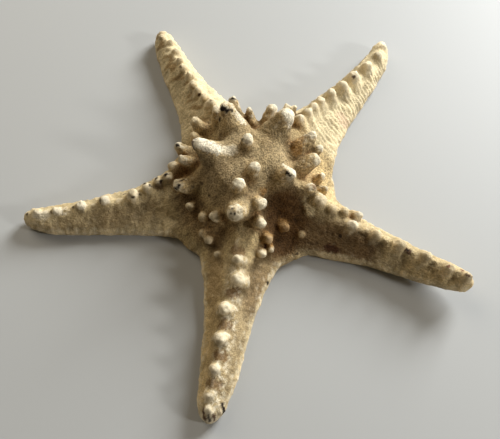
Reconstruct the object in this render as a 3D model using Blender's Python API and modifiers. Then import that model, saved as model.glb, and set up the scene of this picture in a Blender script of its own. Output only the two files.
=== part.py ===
"""A dried knobby starfish: five arms around a tall disc, crowned with five leaning horns.

The body is one closed solid. It rests on its flat underside at Z = 0, with the shallow
groove of each arm and the mouth cut into it. The lower arm points toward -Y.
"""

import math
from typing import NamedTuple

import bmesh
import bpy
from mathutils import Matrix, Vector

MM = 0.001

# Sizes below are in millimetres, measured from the centre of the disc at table height.
NOMINAL_ARM = 100.0
DISC_SHIFT = -3.4
DISC_SIDES = 60
ARM_STATIONS = 44
STATION_CROWDING = 1.25
FLANK_POINTS = 9
UNDERCUT = 1.2
EDGE_BULGE = 0.12
SOLE_SHARE = 0.6
FULL_RIDGE_WIDTH = 8.0

# The skin that grows the forms together.
VOXEL = 0.8
FORM_SMOOTHING = 16
KNOB_SMOOTHING = 3
SMOOTHING_FACTOR = 0.5
TRIANGLES = 8800

KNOB_DEPTH = 5.0
KNOB_LEAN = 1.0
KNOB_FLARE = 2.3
HORN_FILLET = 1.0
SPINE_SIDES = 20

GROOVE_START = 3.0
GROOVE_END_SHARE = 0.94
GROOVE_STEPS = 14
GROOVE_WIDTH = 3.6
GROOVE_DEPTH = 2.6
GROOVE_TAPER = 0.6
GROOVE_SHOULDER = 0.6
CUT_BELOW = 3.0
MOUTH_RADIUS = 5.5
MOUTH_DEPTH = 4.5
TABLE_CUT = 400.0

# Arm profile by distance from the centre along a nominal arm: half width, height of the
# ridge, thickness of the rounded edge, and how hollow the flanks are.
ARM_PROFILE = [
    (0.0, 22.0, 26.0, 5.0, 1.5),
    (14.0, 24.0, 26.0, 5.0, 1.5),
    (19.0, 24.0, 23.4, 5.0, 1.45),
    (24.0, 22.8, 18.8, 4.8, 1.35),
    (29.0, 20.2, 16.0, 4.8, 1.2),
    (35.0, 16.0, 14.8, 4.8, 1.1),
    (40.0, 13.6, 13.9, 4.8, 1.05),
    (50.0, 10.8, 12.9, 4.8, 0.95),
    (60.0, 8.9, 12.0, 4.6, 0.9),
    (71.0, 7.7, 10.9, 4.4, 0.85),
    (82.0, 6.6, 9.8, 4.2, 0.8),
    (90.0, 5.6, 8.8, 3.8, 0.75),
    (95.0, 4.6, 7.8, 3.4, 0.7),
    (98.5, 3.0, 6.0, 2.6, 0.7),
    (100.0, 1.2, 4.2, 1.6, 0.7),
]

# Height of the disc between two arms, by distance from the centre.
DISC_PROFILE = [
    (0.0, 27.4),
    (10.0, 27.0),
    (14.0, 25.6),
    (17.0, 22.4),
    (20.0, 18.2),
    (23.5, 14.0),
    (27.5, 10.6),
    (31.0, 8.2),
    (34.0, 6.2),
    (36.0, 4.4),
    (37.0, 2.6),
]

# How far the disc's upper part spreads by bearing, as a share of its profile: wide at the
# front left, and narrow in the valleys between the other arms.
DISC_SPREAD = [
    (-180.0, 1.0),
    (-160.0, 1.04),
    (-134.0, 1.12),
    (-108.0, 1.04),
    (-85.0, 0.92),
    (-63.0, 0.76),
    (-40.0, 0.84),
    (-15.0, 0.93),
    (12.0, 0.86),
    (50.0, 0.95),
    (84.0, 0.88),
    (117.0, 0.95),
    (153.0, 0.9),
    (180.0, 1.0),
]
SPREAD_START = 5.0
SPREAD_RISE = 4.0


class Arm(NamedTuple):
    """An arm: its direction and length, and a route of (along, across, lift) points."""

    name: str
    bearing: float
    length: float
    breadth: float
    ridge: float
    route: list


class Spine(NamedTuple):
    """A blunt spine from its root inside the body to its tip, both (x, y, z)."""

    root: tuple
    tip: tuple
    root_radius: float
    tip_radius: float


ARMS = [
    Arm("upper_left", 117.0, 98.5, 0.95, -0.6,
        [(0, 0, 0), (40, 1.2, 0), (70, 2.0, 0), (88, 1.4, 1.0), (98.5, 0, 2.0)]),
    Arm("upper_right", 51.0, 103.0, 0.95, 0.6,
        [(0, 0, 0), (40, -4.2, 0), (70, -5.2, 0), (91, -4.4, 1.5), (103, -1.4, 3.0)]),
    Arm("right", -27.0, 99.0, 0.9, 1.4,
        [(0, 0, 0), (40, -4.4, 0), (64, -4.2, 1.5), (83, -5.0, 4.5), (99, -5.2, 8.0)]),
    Arm("front", -98.6, 100.5, 1.02, -0.8,
        [(0, 0, 0), (43, 1.0, 0), (67, 1.0, 0), (88, 0.7, 0.8), (100.5, 0, 1.6)]),
    Arm("left", -170.0, 96.0, 1.0, -1.2,
        [(0, 0, 0), (40, 3.8, 0), (60, 4.2, 0), (84, 3.2, 1.0), (96, 1.0, 2.0)]),
]

# The five horns at the corners of the disc, which grow out of it with broad roots.
HORNS = [
    Spine((-4.6, 11.0, 17.0), (-9.4, 20.4, 28.4), 8.2, 3.5),
    Spine((7.0, 9.0, 18.0), (14.4, 16.2, 28.6), 8.0, 3.9),
    Spine((9.4, -6.0, 17.0), (15.2, -10.0, 27.0), 7.8, 2.8),
    Spine((-4.0, -18.0, 16.6), (-5.2, -26.2, 25.8), 6.6, 3.6),
    Spine((-10.8, 0.8, 18.6), (-20.2, 1.8, 30.3), 8.2, 2.8),
]

# Knobs on top of the disc, and the small ones behind it.
CROWN_SPINES = [
    Spine((-1.2, 1.6, 23.0), (-1.2, 4.0, 30.6), 4.2, 2.4),
    Spine((0.2, -9.6, 21.0), (1.6, -8.4, 29.2), 4.8, 2.7),
    Spine((-4.4, -16.6, 20.0), (-4.6, -15.7, 28.8), 4.8, 2.7),
    Spine((0.4, -18.4, 20.0), (4.4, -21.2, 23.6), 3.8, 2.4),
    Spine((1.8, -23.2, 15.0), (4.4, -27.4, 19.0), 3.8, 1.8),
    Spine((-5.2, 22.0, 20.0), (-7.2, 27.6, 25.8), 3.4, 1.8),
    Spine((0.6, 20.0, 15.0), (-0.2, 26.4, 21.4), 4.4, 1.4),
    Spine((7.0, 21.0, 14.0), (9.4, 26.8, 20.2), 4.6, 2.5),
    Spine((13.0, 26.0, 11.0), (16.5, 31.2, 16.4), 3.2, 1.8),
    Spine((17.0, 28.0, 10.0), (19.2, 31.4, 15.8), 2.4, 1.2),
]

# Knobs between the upper right and the right arm, and at the foot of the crown there.
RIGHT_SPINES = [
    Spine((16.6, 5.4, 15.0), (25.4, 11.2, 22.4), 5.4, 2.4),
    Spine((20.0, 5.0, 12.0), (28.6, 7.6, 18.8), 4.4, 2.0),
    Spine((17.0, -1.4, 14.0), (25.8, 1.6, 19.2), 5.2, 3.2),
    Spine((27.0, -1.0, 7.0), (30.1, -1.3, 11.4), 2.8, 1.6),
    Spine((17.4, -9.0, 12.6), (24.0, -11.0, 17.6), 5.4, 2.7),
    Spine((28.0, -6.4, 7.0), (31.4, -7.1, 11.2), 2.8, 1.7),
    Spine((22.0, -13.0, 13.0), (23.8, -19.6, 13.0), 3.4, 1.2),
    Spine((24.6, -12.0, 8.0), (28.0, -15.4, 15.4), 5.0, 3.2),
    Spine((30.0, -15.6, 8.0), (33.0, -18.4, 14.0), 3.8, 2.4),
    Spine((27.6, -17.0, 6.0), (30.0, -19.4, 11.0), 2.4, 1.4),
    Spine((36.0, -17.0, 8.0), (38.1, -19.2, 13.2), 3.6, 2.1),
    Spine((42.0, -18.4, 7.0), (44.2, -19.8, 11.8), 3.0, 1.8),
    Spine((26.0, -21.0, 4.0), (28.8, -23.6, 8.2), 2.4, 1.2),
    Spine((12.0, -21.6, 6.0), (14.2, -25.0, 11.0), 4.2, 1.8),
    Spine((18.6, -23.4, 4.0), (21.0, -26.6, 8.2), 3.2, 1.5),
    Spine((5.0, -27.0, 7.0), (7.0, -30.4, 11.6), 4.8, 2.1),
    Spine((7.0, -31.0, 5.6), (8.4, -34.0, 9.4), 3.0, 1.5),
    Spine((3.8, -34.2, 8.0), (5.0, -37.0, 11.4), 2.4, 1.5),
]

# Knobs on the left of the disc, from the front arm round to the upper left arm.
LEFT_SPINES = [
    Spine((-14.8, -18.0, 9.0), (-18.8, -22.4, 15.0), 3.6, 2.1),
    Spine((-9.4, -19.6, 11.6), (-13.8, -23.6, 17.8), 4.0, 2.3),
    Spine((-20.0, -14.0, 9.0), (-24.0, -17.6, 15.0), 3.8, 1.9),
    Spine((-16.0, -23.2, 5.0), (-18.9, -27.4, 10.8), 3.0, 1.9),
    Spine((-14.2, -26.8, 5.0), (-16.6, -30.2, 10.4), 3.0, 2.0),
    Spine((-11.0, -33.0, 4.0), (-12.8, -36.2, 9.4), 3.0, 1.6),
    Spine((-22.6, -17.6, 4.0), (-26.2, -20.8, 8.0), 2.6, 1.4),
    Spine((-22.4, 6.4, 12.0), (-29.6, 8.7, 19.0), 4.6, 2.2),
    Spine((-21.4, 1.6, 14.0), (-28.0, 1.5, 20.6), 4.4, 1.8),
    Spine((-26.4, 0.4, 11.0), (-32.0, 0.9, 16.2), 3.8, 2.1),
    Spine((-18.0, -7.0, 13.0), (-28.4, -9.9, 18.8), 6.4, 2.5),
    Spine((-18.0, 21.0, 8.0), (-23.8, 25.4, 13.6), 4.8, 2.5),
    Spine((-19.0, 13.4, 9.0), (-24.0, 17.2, 14.6), 4.4, 1.8),
    Spine((-12.0, 22.0, 14.0), (-14.4, 27.0, 20.0), 4.0, 2.1),
    Spine((-15.0, 30.0, 10.0), (-16.6, 33.6, 16.0), 3.6, 2.1),
]

# Knobs along the ridge of each arm: distance along, offset across, height, radius.
RIDGE_KNOBS = {
    "upper_left": [
        (38, 0.4, 17.2, 2.3), (44, 0.2, 15.6, 2.1), (49, 1.3, 15.2, 2.1), (54, 1.4, 14.8, 2.0),
        (60, 0.6, 14.4, 1.9), (66, 1.2, 13.6, 1.9), (71, 0.7, 13.2, 1.8), (78, -0.2, 12.2, 1.8),
        (85, -0.6, 11.2, 1.7), (91, 2.0, 10.6, 1.8),
    ],
    "upper_right": [
        (32, -1.6, 20.2, 2.2), (37.5, -1.8, 19.4, 2.3), (42, -1.6, 18.4, 2.1), (47, -2.0, 17.8, 2.2),
        (54, -2.8, 17.2, 2.4), (62, -4.0, 16.2, 2.4), (70.5, -4.4, 15.2, 2.4), (80.5, -5.0, 13.8, 2.3),
        (90, -5.0, 12.6, 2.1), (97.5, -3.6, 10.8, 1.8),
    ],
    "right": [
        (48, -4.4, 15.9, 2.2), (58, -3.8, 15.8, 2.1), (68, -3.6, 16.2, 2.2),
        (78.5, -4.4, 16.8, 2.2), (88, -5.2, 17.2, 2.1), (95, -5.4, 16.8, 2.0),
    ],
    "front": [
        (41, 1.5, 17.0, 2.0), (49, 2.6, 16.8, 2.2), (61, -0.1, 15.4, 2.1), (72, 0.0, 14.0, 2.1),
        (83, -0.2, 12.4, 1.9), (92, -0.4, 11.0, 1.8), (96.5, -0.2, 9.3, 1.7),
    ],
    "left": [
        (34, -1.6, 18.2, 2.5), (38, -0.6, 17.2, 2.2), (43, 1.0, 16.5, 2.2), (49, 2.8, 15.9, 2.4),
        (61, 2.4, 14.5, 2.2), (71, 2.6, 13.0, 2.0), (81, 2.6, 11.7, 1.9), (89, 1.6, 10.7, 1.8),
    ],
}


def remove_everything():
    for obj in list(bpy.data.objects):
        bpy.data.objects.remove(obj, do_unlink=True)


def new_collection(name):
    collection = bpy.data.collections.new(name)
    bpy.context.scene.collection.children.link(collection)
    return collection


def interpolate(table, x):
    """The row of values of a table at x, eased between its two nearest rows."""
    if x <= table[0][0]:
        return table[0][1:]
    for low, high in zip(table, table[1:]):
        if x <= high[0]:
            t = (x - low[0]) / (high[0] - low[0])
            return tuple(a + (b - a) * t for a, b in zip(low[1:], high[1:]))
    return table[-1][1:]


def spline(points, x):
    """The smooth curve through (x, values...) points, read at x, by Catmull-Rom pieces."""
    last = len(points) - 2
    i = 0
    while i < last and x > points[i + 1][0]:
        i += 1
    p0 = points[max(i - 1, 0)]
    p1 = points[i]
    p2 = points[i + 1]
    p3 = points[min(i + 2, len(points) - 1)]
    t = min(max((x - p1[0]) / (p2[0] - p1[0]), 0.0), 1.0)
    values = []
    for a, b, c, d in zip(p0[1:], p1[1:], p2[1:], p3[1:]):
        values.append(0.5 * (2 * b + (c - a) * t + (2 * a - 5 * b + 4 * c - d) * t * t
                             + (3 * b - a - 3 * c + d) * t ** 3))
    return values


def arm_point(arm, along, across, up):
    """A point given along, across and above an arm's route, in millimetres."""
    bearing = math.radians(arm.bearing)
    x = along * math.cos(bearing) - across * math.sin(bearing)
    y = along * math.sin(bearing) + across * math.cos(bearing)
    return Vector((x, y, up))


def top_height(t, height, edge, hollow):
    return edge + (height - edge) * (1.0 - t) ** hollow


def arm_section(half_width, height, edge, hollow, ridge):
    """Closed outline of an arm's section as (across, up) points, from edge to edge and back."""
    peak = ridge * min(1.0, half_width / FULL_RIDGE_WIDTH)
    outline = []
    for i in range(-FLANK_POINTS, FLANK_POINTS + 1):
        t = i / FLANK_POINTS
        side = half_width - peak if t > 0 else half_width + peak
        outline.append((peak + t * side, top_height(abs(t), height, edge, hollow)))
    bulge = EDGE_BULGE * min(half_width, edge * 2)
    outline.append((half_width + bulge, edge * 0.5))
    outline.append((half_width, 0.0))
    outline.append((half_width * SOLE_SHARE, -UNDERCUT))
    outline.append((0.0, -UNDERCUT))
    outline.append((-half_width * SOLE_SHARE, -UNDERCUT))
    outline.append((-half_width, 0.0))
    outline.append((-half_width - bulge, edge * 0.5))
    return outline


def loft(mesh, rings):
    """Skin a row of rings of equally many points, and cap both ends."""
    verts = [[mesh.verts.new(p * MM) for p in ring] for ring in rings]
    count = len(verts[0])
    for lower, upper in zip(verts, verts[1:]):
        for i in range(count):
            j = (i + 1) % count
            mesh.faces.new((lower[i], lower[j], upper[j], upper[i]))
    mesh.faces.new(list(reversed(verts[0])))
    mesh.faces.new(verts[-1])


def add_arm(mesh, arm):
    rings = []
    for i in range(ARM_STATIONS + 1):
        share = i / ARM_STATIONS
        nominal = NOMINAL_ARM * (1.0 - (1.0 - share) ** STATION_CROWDING)
        along = nominal * arm.length / NOMINAL_ARM
        half_width, height, edge, hollow = interpolate(ARM_PROFILE, nominal)
        half_width *= arm.breadth
        across, lift = spline(arm.route, along)
        ring = [arm_point(arm, along, across + a, lift + up)
                for a, up in arm_section(half_width, height, edge, hollow, arm.ridge)]
        rings.append(ring)
    loft(mesh, rings)


def disc_ring(radius, height):
    """A level ring of the disc, whose foot lies further forward than its crown."""
    shift = DISC_SHIFT * (1.0 - height / DISC_PROFILE[0][1])
    above_foot = min(max((height - SPREAD_START) / SPREAD_RISE, 0.0), 1.0)
    ring = []
    for i in range(DISC_SIDES):
        angle = 2 * math.pi * i / DISC_SIDES - math.pi
        spread = spline(DISC_SPREAD, math.degrees(angle))[0]
        reach = radius * (1.0 + (spread - 1.0) * above_foot)
        ring.append(Vector((reach * math.cos(angle), shift + reach * math.sin(angle), height)))
    return ring


def add_disc(mesh):
    """The disc between the arms."""
    foot_radius = DISC_PROFILE[-1][0] - UNDERCUT
    rings = [disc_ring(foot_radius, -UNDERCUT)]
    rings += [disc_ring(radius, height) for radius, height in reversed(DISC_PROFILE[1:])]
    loft(mesh, rings)


def add_spine(mesh, root, tip, root_radius, tip_radius):
    """A blunt cone from root to tip with a ball at the tip."""
    start = Vector(root) * MM
    end = Vector(tip) * MM
    direction = end - start
    turn = direction.to_track_quat("Z", "Y").to_matrix().to_4x4()
    middle = Matrix.Translation((start + end) / 2) @ turn
    bmesh.ops.create_cone(mesh, cap_ends=True, segments=SPINE_SIDES, radius1=root_radius * MM,
                          radius2=tip_radius * MM, depth=direction.length, matrix=middle)
    bmesh.ops.create_icosphere(mesh, subdivisions=3, radius=tip_radius * MM,
                               matrix=Matrix.Translation(end))


def add_ridge_knobs(mesh, arm):
    for along, across, height, radius in RIDGE_KNOBS[arm.name]:
        top = height - radius
        tip = arm_point(arm, along, across, top)
        root = arm_point(arm, along - KNOB_LEAN, across, top - KNOB_DEPTH)
        add_spine(mesh, root, tip, radius * KNOB_FLARE, radius)


def object_from(mesh, name, collection):
    data = bpy.data.meshes.new(name)
    bmesh.ops.recalc_face_normals(mesh, faces=mesh.faces)
    mesh.to_mesh(data)
    mesh.free()
    obj = bpy.data.objects.new(name, data)
    collection.objects.link(obj)
    return obj


def evaluated_copy(obj):
    """A plain mesh of the object with its modifiers worked out."""
    graph = bpy.context.evaluated_depsgraph_get()
    return bpy.data.meshes.new_from_object(obj.evaluated_get(graph), depsgraph=graph)


def add_remesh(obj, smoothing):
    remesh = obj.modifiers.new("skin", "REMESH")
    remesh.mode = "VOXEL"
    remesh.voxel_size = VOXEL * MM
    smooth = obj.modifiers.new("ease", "SMOOTH")
    smooth.factor = SMOOTHING_FACTOR
    smooth.iterations = smoothing


def body_form(collection):
    """The disc, the arms and the horns grown together, without their knobs."""
    mesh = bmesh.new()
    add_disc(mesh)
    for arm in ARMS:
        add_arm(mesh, arm)
    for horn in HORNS:
        add_spine(mesh, horn.root, horn.tip, horn.root_radius + HORN_FILLET, horn.tip_radius)
    form = object_from(mesh, "body_form", collection)
    add_remesh(form, FORM_SMOOTHING)
    return form


def knobbed_form(form, collection):
    """The body form with every horn and knob grown out of it."""
    mesh = bmesh.new()
    mesh.from_mesh(evaluated_copy(form))
    for spine in HORNS + CROWN_SPINES + RIGHT_SPINES + LEFT_SPINES:
        add_spine(mesh, *spine)
    for arm in ARMS:
        add_ridge_knobs(mesh, arm)
    knobbed = object_from(mesh, "knobbed_form", collection)
    add_remesh(knobbed, KNOB_SMOOTHING)
    return knobbed


def thin_out(obj):
    """Bring the even skin down to the number of triangles that the solid may have."""
    quads = len(obj.data.polygons)
    decimate = obj.modifiers.new("thin_out", "DECIMATE")
    decimate.ratio = TRIANGLES / (2 * quads)


def as_cutter(obj):
    obj.display_type = "WIRE"
    obj.hide_render = True
    return obj


def table_cutter(cutters):
    """Everything under table height, so that the underside is flat."""
    mesh = bmesh.new()
    size = TABLE_CUT * MM
    bmesh.ops.create_cube(mesh, size=size, matrix=Matrix.Translation((0, 0, -size / 2)))
    return as_cutter(object_from(mesh, "under_table", cutters))


def groove_cutter(arm, cutters):
    """The groove along the underside of an arm, widest near the mouth."""
    mesh = bmesh.new()
    rings = []
    end = arm.length * GROOVE_END_SHARE
    for i in range(GROOVE_STEPS + 1):
        along = GROOVE_START + (end - GROOVE_START) * i / GROOVE_STEPS
        across, lift = spline(arm.route, along)
        share = 1.0 - GROOVE_TAPER * i / GROOVE_STEPS
        width = GROOVE_WIDTH * share
        sole = max(lift - UNDERCUT, 0.0)
        roof = sole + GROOVE_DEPTH * share
        shoulder = roof - GROOVE_SHOULDER
        outline = [(-width, sole - CUT_BELOW), (-width * 0.5, shoulder), (0.0, roof),
                   (width * 0.5, shoulder), (width, sole - CUT_BELOW)]
        rings.append([arm_point(arm, along, across + a, up) for a, up in outline])
    loft(mesh, rings)
    return as_cutter(object_from(mesh, "groove_" + arm.name, cutters))


def mouth_cutter(cutters):
    mesh = bmesh.new()
    bmesh.ops.create_uvsphere(mesh, u_segments=20, v_segments=12, radius=MOUTH_RADIUS * MM)
    bmesh.ops.scale(mesh, verts=mesh.verts, vec=(1, 1, MOUTH_DEPTH / MOUTH_RADIUS))
    return as_cutter(object_from(mesh, "mouth", cutters))


def cut(obj, cutter):
    boolean = obj.modifiers.new(cutter.name, "BOOLEAN")
    boolean.operation = "DIFFERENCE"
    boolean.solver = "EXACT"
    boolean.object = cutter


def dried_skin():
    material = bpy.data.materials.new("dried_skin")
    material.use_nodes = True
    shader = material.node_tree.nodes["Principled BSDF"]
    shader.inputs["Base Color"].default_value = (0.60, 0.47, 0.29, 1.0)
    shader.inputs["Roughness"].default_value = 0.85
    shader.inputs["Metallic"].default_value = 0.0
    return material


def stand_on_origin(obj):
    """Move the mesh so that the middle of its box, at table height, is the origin."""
    xs = [v.co.x for v in obj.data.vertices]
    ys = [v.co.y for v in obj.data.vertices]
    middle = Vector(((min(xs) + max(xs)) / 2, (min(ys) + max(ys)) / 2, 0))
    obj.data.transform(Matrix.Translation(-middle))


def build():
    remove_everything()
    collection = new_collection("dried_starfish")
    cutters = new_collection("cutters")
    form = body_form(cutters)
    knobbed = knobbed_form(form, cutters)
    starfish = bpy.data.objects.new("starfish", evaluated_copy(knobbed))
    collection.objects.link(starfish)
    bpy.data.objects.remove(form)
    bpy.data.objects.remove(knobbed)

    thin_out(starfish)
    cut(starfish, table_cutter(cutters))
    for arm in ARMS:
        cut(starfish, groove_cutter(arm, cutters))
    cut(starfish, mouth_cutter(cutters))
    starfish.data = evaluated_copy(starfish)
    starfish.modifiers.clear()
    stand_on_origin(starfish)
    starfish.data.materials.clear()
    starfish.data.materials.append(dried_skin())
    starfish.data.shade_smooth()


build()
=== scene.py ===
"""The look of the dried starfish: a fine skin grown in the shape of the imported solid, its
colours, the small spines of its underside, and the studio."""

import math
from typing import NamedTuple

import bmesh
import bpy
import numpy as np
from mathutils import Matrix, Vector, noise
from mathutils.bvhtree import BVHTree


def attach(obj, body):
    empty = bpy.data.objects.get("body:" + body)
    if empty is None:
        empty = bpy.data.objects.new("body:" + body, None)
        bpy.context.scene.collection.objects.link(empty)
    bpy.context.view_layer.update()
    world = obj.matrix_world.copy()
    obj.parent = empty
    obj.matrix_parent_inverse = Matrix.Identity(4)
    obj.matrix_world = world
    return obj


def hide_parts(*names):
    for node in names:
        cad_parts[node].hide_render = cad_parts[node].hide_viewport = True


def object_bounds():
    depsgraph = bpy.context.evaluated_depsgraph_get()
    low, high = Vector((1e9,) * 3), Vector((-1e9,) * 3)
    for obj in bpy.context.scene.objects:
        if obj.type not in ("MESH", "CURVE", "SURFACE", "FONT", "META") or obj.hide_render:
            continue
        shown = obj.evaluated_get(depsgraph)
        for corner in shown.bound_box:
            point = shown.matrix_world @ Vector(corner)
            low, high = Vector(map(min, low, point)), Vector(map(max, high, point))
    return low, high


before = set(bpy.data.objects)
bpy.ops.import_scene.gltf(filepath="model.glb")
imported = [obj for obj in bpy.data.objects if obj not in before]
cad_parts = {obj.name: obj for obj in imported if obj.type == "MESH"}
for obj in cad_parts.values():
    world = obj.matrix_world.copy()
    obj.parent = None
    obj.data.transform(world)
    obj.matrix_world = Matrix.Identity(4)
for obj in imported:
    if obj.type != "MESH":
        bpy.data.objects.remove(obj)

MM = 0.001
CAD_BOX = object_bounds()

# The centre of the disc at table height, in the frame, in millimetres. All sizes below are
# measured from it. The form's values are the solid's; grooves and mouth are a little smaller.
DISC_CENTRE = (4.257, 5.709)

# The camera looks at a point of the table in front of the disc.
CAMERA_TILT = 28.0
CAMERA_DISTANCE = 255.0
CAMERA_LENS = 43.2
AIM_BEFORE_DISC = 15.5

# The plan and section of the form, as in the solid.
NOMINAL_ARM = 100.0
DISC_SHIFT = -3.4
DISC_SIDES = 60
ARM_STATIONS = 44
STATION_CROWDING = 1.25
FLANK_POINTS = 9
UNDERCUT = 1.2
EDGE_BULGE = 0.12
SOLE_SHARE = 0.6
FULL_RIDGE_WIDTH = 8.0

# Face size and rounds of smoothing, without and with the knobs.
FORM_VOXEL = 0.8
FORM_SMOOTHING = 16
SKIN_VOXEL = 0.67
SKIN_SMOOTHING = 3

HORN_FILLET = 1.0
KNOB_DEPTH = 5.0
KNOB_LEAN = 1.0
KNOB_FLARE = 2.3
SPINE_SIDES = 32

# The underside: grooves, mouth, rows of plates beside the grooves and blunt pegs in them.
GROOVE_HALF = 2.5
GROOVE_DEPTH = 2.4
GROOVE_TAPER = 0.6
GROOVE_END_SHARE = 0.94
MOUTH_RADIUS = 5.4
MOUTH_DEPTH = 4.3
PLATE_SPACING = 2.3
PLATE_HEIGHT = 0.16
PEG_SPACING = 1.9
PEG_SIDES = 7
PEG_ROOT_RADIUS = 0.46
PEG_TIP_RADIUS = 0.30

# Where the disc's skin gives way to that of the arms, in its relief and in its colours.
ARM_ROOT = (24.0, 34.0)
COLOUR_ROOT = (26.0, 38.0)

# The fine relief of the upper skin: layers of lumps by size, seed and height, the long cells
# of the folds and of the painted shade in brown between them, and those of the net.
LUMPS = [(6.0, 21.0, 0.25), (3.2, 7.0, 0.18), (1.6, 11.0, 0.15)]
KNOB_LUMPS = (1.7, 23.0, 0.42)
CROWN_FOLDS = 0.26
CREASE_SIZE = 4.6
FOLD_CELL = (9.0, 2.6)
SHADE_CELL = (6.0, 2.4)
NET_CELL = (2.5, 1.6, 2.2)
NET_HEIGHT = 0.10
RIB_SPACING = 1.9

# How the shelter of hollows is felt out: one vertex in so many, rays from each, and their reach.
SHELTER_STEP = 4
SHELTER_RAYS = 24
SHELTER_REACH = 16.0

# Arm profile by distance from the centre along a nominal arm: half width, height of the
# ridge, thickness of the rounded edge, and how hollow the flanks are.
ARM_PROFILE = [
    (0.0, 22.0, 26.0, 5.0, 1.5),
    (14.0, 24.0, 26.0, 5.0, 1.5),
    (19.0, 24.0, 23.4, 5.0, 1.45),
    (24.0, 22.8, 18.8, 4.8, 1.35),
    (29.0, 20.2, 16.0, 4.8, 1.2),
    (35.0, 16.0, 14.8, 4.8, 1.1),
    (40.0, 13.6, 13.9, 4.8, 1.05),
    (50.0, 10.8, 12.9, 4.8, 0.95),
    (60.0, 8.9, 12.0, 4.6, 0.9),
    (71.0, 7.7, 10.9, 4.4, 0.85),
    (82.0, 6.6, 9.8, 4.2, 0.8),
    (90.0, 5.6, 8.8, 3.8, 0.75),
    (95.0, 4.6, 7.8, 3.4, 0.7),
    (98.5, 3.0, 6.0, 2.6, 0.7),
    (100.0, 1.2, 4.2, 1.6, 0.7),
]

# Height of the disc between two arms, by distance from the centre.
DISC_PROFILE = [
    (0.0, 27.4),
    (10.0, 27.0),
    (14.0, 25.6),
    (17.0, 22.4),
    (20.0, 18.2),
    (23.5, 14.0),
    (27.5, 10.6),
    (31.0, 8.2),
    (34.0, 6.2),
    (36.0, 4.4),
    (37.0, 2.6),
]

# How far the disc's upper part spreads by bearing, as a share of its profile: wide at the
# front left, and narrow in the other valleys.
DISC_SPREAD = [
    (-180.0, 1.0),
    (-160.0, 1.04),
    (-134.0, 1.12),
    (-108.0, 1.04),
    (-85.0, 0.92),
    (-63.0, 0.76),
    (-40.0, 0.84),
    (-15.0, 0.93),
    (12.0, 0.86),
    (50.0, 0.95),
    (84.0, 0.88),
    (117.0, 0.95),
    (153.0, 0.9),
    (180.0, 1.0),
]
SPREAD_START = 5.0
SPREAD_RISE = 4.0


class Arm(NamedTuple):
    """An arm: its direction and length, and a route of (along, across, lift) points."""

    name: str
    bearing: float
    length: float
    breadth: float
    ridge: float
    route: list


class Spine(NamedTuple):
    """A blunt spine from its root inside the body to its tip, both (x, y, z)."""

    root: tuple
    tip: tuple
    root_radius: float
    tip_radius: float


ARMS = [
    Arm("upper_left", 117.0, 98.5, 0.95, -0.6,
        [(0, 0, 0), (40, 1.2, 0), (70, 2.0, 0), (88, 1.4, 1.0), (98.5, 0, 2.0)]),
    Arm("upper_right", 51.0, 103.0, 0.95, 0.6,
        [(0, 0, 0), (40, -4.2, 0), (70, -5.2, 0), (91, -4.4, 1.5), (103, -1.4, 3.0)]),
    Arm("right", -27.0, 99.0, 0.9, 1.4,
        [(0, 0, 0), (40, -4.4, 0), (64, -4.2, 1.5), (83, -5.0, 4.5), (99, -5.2, 8.0)]),
    Arm("front", -98.6, 100.5, 1.02, -0.8,
        [(0, 0, 0), (43, 1.0, 0), (67, 1.0, 0), (88, 0.7, 0.8), (100.5, 0, 1.6)]),
    Arm("left", -170.0, 96.0, 1.0, -1.2,
        [(0, 0, 0), (40, 3.8, 0), (60, 4.2, 0), (84, 3.2, 1.0), (96, 1.0, 2.0)]),
]

# Two arms that have a look of their own, by their places in the list.
UPPER_LEFT = 0
FRONT = 3

# The five horns at the corners of the disc, which grow out of it with broad roots.
HORNS = [
    Spine((-4.6, 11.0, 17.0), (-9.4, 20.4, 28.4), 8.2, 3.5),
    Spine((7.0, 9.0, 18.0), (14.4, 16.2, 28.6), 8.0, 3.9),
    Spine((9.4, -6.0, 17.0), (15.2, -10.0, 27.0), 7.8, 2.8),
    Spine((-4.0, -18.0, 16.6), (-5.2, -26.2, 25.8), 6.6, 3.6),
    Spine((-10.8, 0.8, 18.6), (-20.2, 1.8, 30.3), 8.2, 2.8),
]

# Knobs on top of the disc, and the small ones behind it.
CROWN_SPINES = [
    Spine((-1.2, 1.6, 23.0), (-1.2, 4.0, 30.6), 4.2, 2.4),
    Spine((0.2, -9.6, 21.0), (1.6, -8.4, 29.2), 4.8, 2.7),
    Spine((-4.4, -16.6, 20.0), (-4.6, -15.7, 28.8), 4.8, 2.7),
    Spine((0.4, -18.4, 20.0), (4.4, -21.2, 23.6), 3.8, 2.4),
    Spine((1.8, -23.2, 15.0), (4.4, -27.4, 19.0), 3.8, 1.8),
    Spine((-5.2, 22.0, 20.0), (-7.2, 27.6, 25.8), 3.4, 1.8),
    Spine((0.6, 20.0, 15.0), (-0.2, 26.4, 21.4), 4.4, 1.4),
    Spine((7.0, 21.0, 14.0), (9.4, 26.8, 20.2), 4.6, 2.5),
    Spine((13.0, 26.0, 11.0), (16.5, 31.2, 16.4), 3.2, 1.8),
    Spine((17.0, 28.0, 10.0), (19.2, 31.4, 15.8), 2.4, 1.2),
]

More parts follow.
